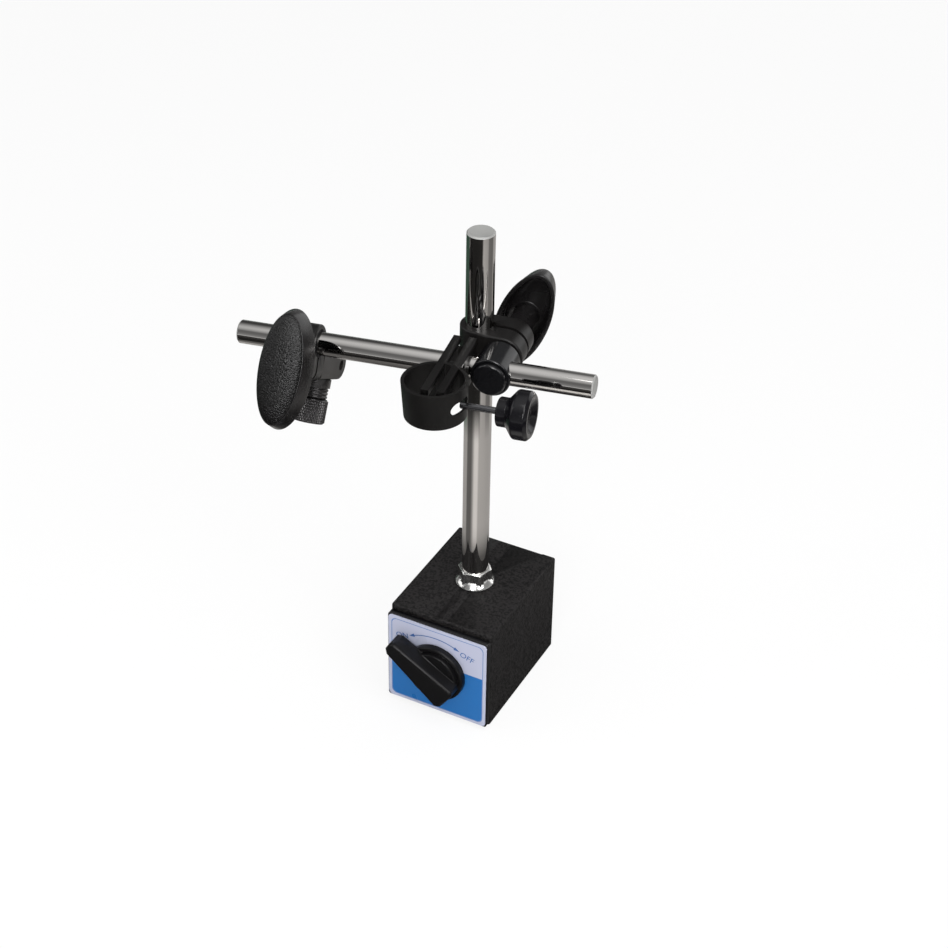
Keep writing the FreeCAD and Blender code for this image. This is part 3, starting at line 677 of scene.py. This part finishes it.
def bar_with_ends(name, profile, place, body, node):
    """A chromed bar; faces that look along it, its ends and their chamfers, get the cut finish."""
    bar = turned_piece(name, profile, place, segments=BAR_SEGMENTS)
    ride_for(bar, body, [node], chrome)
    bar.data.materials.append(cut_steel)
    along = place[:, 2]
    normals = np.zeros(len(bar.data.polygons) * 3)
    bar.data.polygons.foreach_get("normal", normals)
    facing = np.abs(normals.reshape(-1, 3) @ along)
    bar.data.polygons.foreach_set("material_index", (facing > END_FACING).astype(np.int32))
    return bar


bar_with_ends("chromed_column",
              [(0, STUD_END), (STUD_RADIUS, STUD_END), (STUD_RADIUS, NUT_TOP),
               (COLUMN_RADIUS, NUT_TOP), (COLUMN_RADIUS, COLUMN_TOP - CHAMFER),
               (COLUMN_RADIUS - CHAMFER, COLUMN_TOP), (0, COLUMN_TOP)],
              ground, "column", "column")
arm_line = axes_frame(arm_place, UP, arm_right)
bar_with_ends("chromed_rod",
              [(0, ROD_LEFT), (ROD_RADIUS - CHAMFER, ROD_LEFT),
               (ROD_RADIUS, ROD_LEFT + CHAMFER), (ROD_RADIUS, ROD_RIGHT - CHAMFER),
               (ROD_RADIUS - CHAMFER, ROD_RIGHT), (0, ROD_RIGHT)],
              arm_line, "cross_rod", "cross_rod")
smooth_copy("column_nut", "flange_nut", "base", nickel, NUT_SMOOTH_BELOW)
print("column to", COLUMN_TOP, "mm, rod", ROD_LENGTH, "mm long")

# %% [markdown]
# ## Clamps, swivel and ring
#
# The clamps are painted black. The swivel's barrel and the round face in it are polished
# black, and they show the room like dark glass.

# %% Clamps and holders
HOLDERS = (
    ("column_clamp", "upper_clamp", "column_clamp", clamp_paint, "clamp_black"),
    ("rod_clamp", "lower_clamp", "rod_clamp", clamp_paint, "clamp_black"),
    ("clamp_bush", "split_bush", "clamp_bush", matte_black, "bush_black"),
    ("friction_washer", "dark_washer", "swivel", matte_black, "washer_black"),
    ("rod_sleeve", "barrel", "swivel", gloss_black, "sleeve_black"),
    ("eye_stud", "eye_bolt", "swivel", gloss_black, "eye_black"),
    ("ring_holder", "open_ring", "ring_holder", ring_paint, "ring_black"),
    ("thumb_screw", "long_screw", "thumb_screw", screw_steel, "screw_chrome"),
    ("stem_holder", "lugged_holder", "stem_holder", holder_steel, "holder_metal"),
    ("collet_body", "ringed_neck", "stem_holder", knurled_steel, "collet_steel"),
)
for node, name, body, material, slot in HOLDERS:
    smooth_copy(node, name, body, material)
print("clamps and holders dressed", len(HOLDERS))

# %% [markdown]
# ## The oval knobs
#
# Each clamp closes with a hollow oval knob. Its back is a shallow dome with a pebbled skin,
# its wall is smooth and flares a little towards the open side, and a round hub stands in the
# hollow. All of it is one closed surface: a row of ovals, each with its own two half-axes and
# height, that runs from the dome's middle over the rim, through the hollow and down the hub.
# A number on each point, an attribute, tells the material where the skin is pebbled and where its
# colour is darkened as painted shade.

# %% Oval knob surface
KNOB_HALF = (25.3, 11.5)
KNOB_TAPER = 2.2
KNOB_DEPTH = 9.2
KNOB_DOME = 2.9
KNOB_WALL = 1.9
KNOB_FLOOR = 7.4
KNOB_STANDOFF = 11.2
DOME_GAP = 0.2
DOME_SINK = 0.25
DOME_ROWS = 24
DOME_LOWEST = 6
HUB_RADIUS = 5.4
HUB_HOLE = 4.2
HUB_HOLE_DEPTH = 5.6
HUB_LIFT = 0.05


def oval_stations():
    """Rows of (half-length, half-width, height) from the dome's middle to the hub's hole.

    The dome's rows are (a cos e, b cos e, c + h sin e), as e falls from 90 degrees to
    DOME_LOWEST. Each row of the wall is inset by one length from both half-axes.
    """
    long_half, short_half = KNOB_HALF
    lift = np.linspace(90, DOME_LOWEST, DOME_ROWS) * np.pi / 180
    top_long, top_short = long_half - KNOB_TAPER - DOME_GAP, short_half - KNOB_TAPER - DOME_GAP
    dome = np.column_stack([top_long * np.cos(lift), top_short * np.cos(lift),
                            KNOB_DEPTH - DOME_SINK + KNOB_DOME * np.sin(lift)])
    wall = rounded_profile([(KNOB_TAPER + 0.75, KNOB_DEPTH - 0.35), (KNOB_TAPER, KNOB_DEPTH, 0.35),
                            (0, 0, 0.5), (KNOB_WALL, 0, 0.6),
                            (KNOB_WALL + KNOB_TAPER * 0.9, KNOB_FLOOR, 2.6), (5.4, KNOB_FLOOR)])
    shell = np.column_stack([long_half - wall[:, 0], short_half - wall[:, 0], wall[:, 1]])
    hub_end = HUB_LIFT - KNOB_STANDOFF
    hub = rounded_profile([(9.0, KNOB_FLOOR), (HUB_RADIUS, KNOB_FLOOR, 0.6),
                           (HUB_RADIUS, hub_end, 0.4), (HUB_HOLE, hub_end),
                           (HUB_HOLE, KNOB_FLOOR - HUB_HOLE_DEPTH),
                           (0, KNOB_FLOOR - HUB_HOLE_DEPTH)])[1:]
    post = np.column_stack([hub[:, 0], hub[:, 0], hub[:, 1]])
    return np.vstack([dome, shell, post])


print("oval knob", len(oval_stations()), "rows")

# %% Oval knob piece
PEBBLE_BELOW = 0.1
PEBBLE_FADE = 0.25


def oval_knob(name, place, body, node, segments=128):
    """Each station gives the ring (a cos t, b sin t, height) for a full turn of t."""
    rows = oval_stations()
    turn = np.linspace(0, 2 * np.pi, segments, endpoint=False)
    points = np.stack([rows[:, :1] * np.cos(turn), rows[:, 1:2] * np.sin(turn),
                       np.repeat(rows[:, 2:3], segments, 1)], -1).reshape(-1, 3)
    piece = mesh_piece(name, points, grid_faces(len(rows), segments), place)
    co = np.zeros(len(piece.data.vertices) * 3)
    piece.data.vertices.foreach_get("co", co)
    local = (co.reshape(-1, 3) / MM - place[:, 3]) @ place[:, :3]
    # The share marks the pebbled dome, for its bump and for its painted shade.
    share = np.clip((local[:, 2] - KNOB_DEPTH + PEBBLE_BELOW) / PEBBLE_FADE, 0, 1)
    pebble_and_shade = piece.data.attributes.new("pebble_and_shade", "FLOAT", "POINT")
    pebble_and_shade.data.foreach_set("value", share.astype(np.float32))
    return ride_for(piece, body, [node], knob_moulding)


print("pebbles fade out over", PEBBLE_FADE, "mm")

# %% Both knobs
REAR_LEAN = math.radians(20)
FRONT_LEAN = math.radians(2.5)
REAR_OFFSET, FRONT_OFFSET = 0.2, 0.75
head_right = np.cross(stud_back, UP)
grip_up = np.cross(arm_right, grip_back)
rear_at = joint_place("rear_knob_turn") + REAR_OFFSET * stud_back
front_at = joint_place("front_knob_turn") + FRONT_OFFSET * grip_back
oval_knob("rear_oval_knob", axes_frame(
    rear_at, math.sin(REAR_LEAN) * head_right + math.cos(REAR_LEAN) * UP, stud_back),
    "rear_knob", "rear_knob")
oval_knob("front_oval_knob", axes_frame(
    front_at, math.sin(FRONT_LEAN) * arm_right + math.cos(FRONT_LEAN) * grip_up, -grip_back),
    "front_knob", "front_knob")
print("rear knob at", rear_at.round(1), "front knob at", front_at.round(1))

# %% [markdown]
# ## The thumb knob
#
# The ring's screw ends in a flared knob with a dished, polished front. It is a plain turned
# piece, so a profile with soft corners says everything.

# %% Thumb knob
THUMB_BACK = 6.3
THUMB_PROFILE = ((0, 12.9), (6.1, 12.9, 0.8), (6.1, 17.1, 1.4), (10.2, 20.4, 1.6),
                 (10.2, 25.7, 0.8), (8.9, 27.0, 0.7), (7.4, 27.0, 1.2), (4.6, 25.0, 2.0),
                 (0, 24.65))
thumb_line = axes_frame(joint_place("thumb_screw_turn") - THUMB_BACK * arm_right, UP, arm_right)
flared = turned_piece("flared_knob", THUMB_PROFILE, thumb_line, segments=112, steps=6)
ride_for(flared, "thumb_screw", ["thumb_knob"], thumb_moulding)
print("thumb knob", len(flared.data.polygons), "faces")

# %% [markdown]
# ## The knurled nut
#
# The collet nut has a diamond knurl, which is two sets of grooves that wind round it in
# opposite ways. A bump map would leave the outline smooth, so the knurl is cut into the
# surface: the radius falls along both sets of helical lines.

# %% Knurl
KNURL_RADIUS = 6.9
KNURL_TEETH = 36
KNURL_DEPTH = 0.38
KNURL_PITCH = 1.15
NUT_LOW, NUT_HIGH = -5.225, 5.175
NUT_BORE = 5.25
NUT_BEVEL = 0.6
NUT_RIM = 0.45
GROOVE_SHARPNESS = 1.6


def knurled_nut():
    """Radius = outer radius minus depth times the nearer groove of two opposite helices."""
    around, along_rows = KNURL_TEETH * 8, 72
    turn = np.linspace(0, 2 * np.pi, around, endpoint=False)
    z = np.linspace(NUT_LOW + NUT_BEVEL, NUT_HIGH - NUT_BEVEL, along_rows)
    turn_grid, z_grid = np.meshgrid(turn, z)
    teeth = turn_grid * KNURL_TEETH / (2 * np.pi)
    waves = [np.abs(np.mod(teeth + way * z_grid / KNURL_PITCH, 1.0) - 0.5) * 2
             for way in (-0.5, 0.5)]
    groove = np.clip(1 - np.minimum(*[1 - w for w in waves]) * GROOVE_SHARPNESS, 0, 1)
    radius = KNURL_RADIUS - KNURL_DEPTH * groove
    bevel = KNURL_RADIUS - NUT_BEVEL
    rows = [(NUT_BORE, NUT_HIGH), (NUT_BORE, NUT_LOW), (bevel, NUT_LOW),
            (KNURL_RADIUS - KNURL_DEPTH, NUT_LOW + NUT_RIM)]
    ends = [(KNURL_RADIUS - KNURL_DEPTH, NUT_HIGH - NUT_RIM), (bevel, NUT_HIGH)]
    radii = np.vstack([np.full((1, around), r) for r, _ in rows] + [radius]
                      + [np.full((1, around), r) for r, _ in ends])
    heights = np.concatenate([[h for _, h in rows], z, [h for _, h in ends]])
    points = np.stack([radii * np.cos(turn), radii * np.sin(turn),
                       np.repeat(heights[:, None], around, 1)], -1)
    faces = grid_faces(len(heights), around, closed_rows=True)
    return mesh_piece("knurled_nut", points.reshape(-1, 3), faces,
                      axes_frame(stem_place, EAST, -stem_down))


nut = knurled_nut()
ride_for(nut, "collet_nut", ["collet_nut"], knurled_steel)
print("knurled nut", len(nut.data.polygons), "faces")

# %% [markdown]
# ## Floor and light
#
# The photograph has a white ground and soft light from above. The floor is white paint that
# the camera sees close to pure white, and its shadow is kept faint. The room is dim and the
# lamps are large, because black paint and chrome show the room itself: a bright room would
# turn both of them grey. One broad lamp behind draws the rims, and one very small lamp
# leaves the bright points that the photograph shows on every polished edge.

# %% Floor
FLOOR_REACH = 12.0
FLOOR_DROP = 0.0006
CAMERA_WHITE, MIRROR_WHITE = 0.86, 0.45
floor_mesh = bpy.data.meshes.new("floor")
floor_mesh.from_pydata([(x * FLOOR_REACH, y * FLOOR_REACH, 0)
                        for x, y in ((-1, -1), (1, -1), (1, 1), (-1, 1))], [], [(0, 1, 2, 3)])
floor = bpy.data.objects.new("floor", floor_mesh)
floor.location.z = -FLOOR_DROP
bpy.context.scene.collection.objects.link(floor)
floor_paint = bpy.data.materials.new("white floor")
floor_paint.use_nodes = True
tree = floor_paint.node_tree
shader = tree.nodes["Principled BSDF"]
shader.inputs["Base Color"].default_value = (0.9, 0.9, 0.9, 1.0)
shader.inputs["Roughness"].default_value = 0.9
glow = tree.nodes.new("ShaderNodeEmission")
glow.inputs["Strength"].default_value = 1.0
seen = tree.nodes.new("ShaderNodeLightPath")
blend = tree.nodes.new("ShaderNodeMixShader")
camera_share = maths(tree, "MULTIPLY", seen.outputs["Is Camera Ray"], CAMERA_WHITE)
glossy_share = maths(tree, "MULTIPLY", seen.outputs["Is Glossy Ray"], MIRROR_WHITE)
clear_share = maths(tree, "MULTIPLY", seen.outputs["Is Transmission Ray"], MIRROR_WHITE)
share = maths(tree, "ADD", maths(tree, "ADD", camera_share, glossy_share), clear_share,
              clamp=True)
tree.links.new(share, blend.inputs[0])
tree.links.new(shader.outputs[0], blend.inputs[1])
tree.links.new(glow.outputs[0], blend.inputs[2])
tree.links.new(blend.outputs[0], tree.nodes["Material Output"].inputs["Surface"])
floor_mesh.materials.append(floor_paint)
print("floor", 2 * FLOOR_REACH, "m wide")

# %% World
ROOM_TONE = ((0.0, 0.44), (0.12, 0.34), (0.38, 0.22), (0.62, 0.20), (1.0, 0.34))
DARK_LEFT, LEFT_TONE = (-0.47, -0.34), 0.35
world = bpy.data.worlds.new("studio")
bpy.context.scene.world = world
world.use_nodes = True
tree = world.node_tree
background = tree.nodes["Background"]
background.inputs["Color"].default_value = (1.0, 1.0, 1.0, 1.0)
sky = tree.nodes.new("ShaderNodeTexCoord")
sky_axes = tree.nodes.new("ShaderNodeSeparateXYZ")
tree.links.new(sky.outputs["Generated"], sky_axes.inputs[0])
ramp = tree.nodes.new("ShaderNodeValToRGB")
for number, (height, tone) in enumerate(ROOM_TONE):
    stops = ramp.color_ramp.elements
    stop = stops[0] if number == 0 else stops.new(height)
    stop.position = height
    stop.color = (tone, tone, tone, 1.0)
stops.remove(stops[len(ROOM_TONE)])
tree.links.new(sky_axes.outputs["Z"], ramp.inputs[0])
leftward = tree.nodes.new("ShaderNodeMapRange")
for label, value in (("From Min", DARK_LEFT[0]), ("From Max", DARK_LEFT[1]),
                     ("To Min", LEFT_TONE), ("To Max", 1.0)):
    leftward.inputs[label].default_value = value
tree.links.new(sky_axes.outputs["X"], leftward.inputs["Value"])
tree.links.new(maths(tree, "MULTIPLY", ramp.outputs[0], leftward.outputs[0]),
               background.inputs["Strength"])
print("room tones", len(ROOM_TONE))

# %% Lamps
LAMPS = (("key", (0.33, -1.05, 0.78), 0.12, (0.38, 0.38), 6.2),
         ("side", (0.95, -0.45, 0.95), 0.12, (0.6, 0.6), 5.4),
         ("fill", (-1.15, -0.5, 0.9), 0.12, (1.2, 1.2), 5.0),
         ("top", (0.25, -0.45, 1.25), 0.10, (0.7, 0.7), 4.6),
         ("rim", (0.6, 1.7, 0.6), 0.2, (1.8, 1.0), 6.0),
         ("spark", (-0.56, -0.65, 1.0), 0.15, (0.05, 0.05), 0.4))


def soft_lamp(name, place, aim_height, size, watts):
    """A rectangular lamp that looks at the column's line at the given height."""
    data = bpy.data.lights.new(name, "AREA")
    data.shape = "RECTANGLE"
    data.size, data.size_y = size
    data.energy = watts
    lamp = bpy.data.objects.new(name, data)
    direction = Vector((0, 0, aim_height)) - Vector(place)
    lamp.matrix_world = Matrix.Translation(place) @ direction.to_track_quat(
        "-Z", "Y").to_matrix().to_4x4()
    bpy.context.scene.collection.objects.link(lamp)


for lamp_row in LAMPS:
    soft_lamp(*lamp_row)
bpy.context.scene.view_settings.view_transform = "Standard"
print("lamps", len(LAMPS))

# %% [markdown]
# ## A toned card for the chrome
#
# Polished bars show only what is round them, so on a white floor they turn white and lose
# their shape. Photographers lay cards beside them. Here one round card lies just over the
# floor and only reflections see it, so the floor itself stays white. Its tone is a function of
# two things: the angle from the viewer, which an upright bar spreads over its width as
# stripes, and the distance, which the bar spreads along its height.

# %% Tone by angle and distance
NEAR_TONE = ((-180, 0.40), (-96, 0.42), (-84, 0.14), (-50, 0.13), (-38, 0.28), (-20, 0.70),
             (2, 0.72), (16, 0.44), (180, 0.42))
FAR_TONE = ((-180, 0.09), (-98, 0.09), (-90, 0.02), (-30, 0.015), (12, 0.02), (22, 0.40),
            (58, 0.34), (68, 0.17), (104, 0.17), (116, 0.44), (180, 0.42))
UNDER_TONE = 0.10
UNDER_REACH, NEAR_REACH, FAR_REACH = 0.095, 0.20, 0.225
OUTER_REACH, OUTER_TONE, OUTER_WITHIN = 0.42, 0.04, 110
CARD_EDGE = 1.6
toward = np.array([math.sin(CAMERA_AZIMUTH), -math.cos(CAMERA_AZIMUTH), 0.0])
aside = np.array([math.cos(CAMERA_AZIMUTH), math.sin(CAMERA_AZIMUTH), 0.0])


def card_tone(angle, reach):
    """Near tone blends into far tone with distance; dark close to the base and far in front."""
    near = np.interp(angle, *zip(*NEAR_TONE))
    far = np.interp(angle, *zip(*FAR_TONE))
    share = np.clip((reach - NEAR_REACH) / (FAR_REACH - NEAR_REACH), 0, 1)
    tone = near * (1 - share) + far * share
    close = np.clip((UNDER_REACH - reach) / 0.02 + 1, 0, 1)
    tone = tone * (1 - close) + UNDER_TONE * close
    outer = np.clip((reach - OUTER_REACH) / 0.1, 0, 1) * (np.abs(angle) < OUTER_WITHIN)
    return tone * (1 - outer) + OUTER_TONE * outer


print("card tone in front of the base", card_tone(0.0, np.array(0.15)).round(2))

# %% The card itself
CARD_DROP = 0.0002
CARD_WARMTH = (1.19, 1.155, 1.12, 1.0)
GREEN_BELOW, GREEN_FROM = -96, 0.20


def toned_card(name, rings=64, spokes=360):
    """Rings of points at growing distances; the tone is stored on each point.

    The far left is a little green, as the photograph shows it in the column's left edge.
    """
    reach, angle = np.meshgrid(np.geomspace(0.01, CARD_EDGE, rings),
                               np.linspace(-180, 180, spokes, endpoint=False), indexing="ij")
    spread = np.radians(angle)[..., None]
    points = reach[..., None] * (np.cos(spread) * toward + np.sin(spread) * aside)
    points[..., 2] = -CARD_DROP
    tone = card_tone(angle, reach)
    green = (np.clip((GREEN_BELOW - angle) / 6, 0, 1)
             * np.clip((reach - GREEN_FROM) / 0.03, 0, 1))
    tint = np.stack([tone * (1 - 0.42 * green), tone * (1 + 0.05 * green),
                     tone * (1 - 0.20 * green), np.ones_like(tone)], -1)
    mesh = bpy.data.meshes.new(name)
    mesh.from_pydata(points.reshape(-1, 3).tolist(), [], grid_faces(rings, spokes).tolist())
    colours = mesh.color_attributes.new("tone", "FLOAT_COLOR", "POINT")
    colours.data.foreach_set("color", (tint * CARD_WARMTH).reshape(-1).astype(np.float32))
    card = bpy.data.objects.new(name, mesh)
    bpy.context.scene.collection.objects.link(card)
    card.visible_camera = False
    card.visible_diffuse = False
    card.visible_shadow = False
    card.visible_transmission = False
    return card


card_paint = bpy.data.materials.new("card")
card_paint.use_nodes = True
tree = card_paint.node_tree
card_shader = tree.nodes["Principled BSDF"]
card_shader.inputs["Roughness"].default_value = 1.0
card_shader.inputs["Specular IOR Level"].default_value = 0.0
card_colour = tree.nodes.new("ShaderNodeAttribute")
card_colour.attribute_name = "tone"
tree.links.new(card_colour.outputs["Color"], card_shader.inputs["Base Color"])
card = toned_card("toned_card")
card.data.materials.append(card_paint)
print("toned card", len(card.data.polygons), "faces")
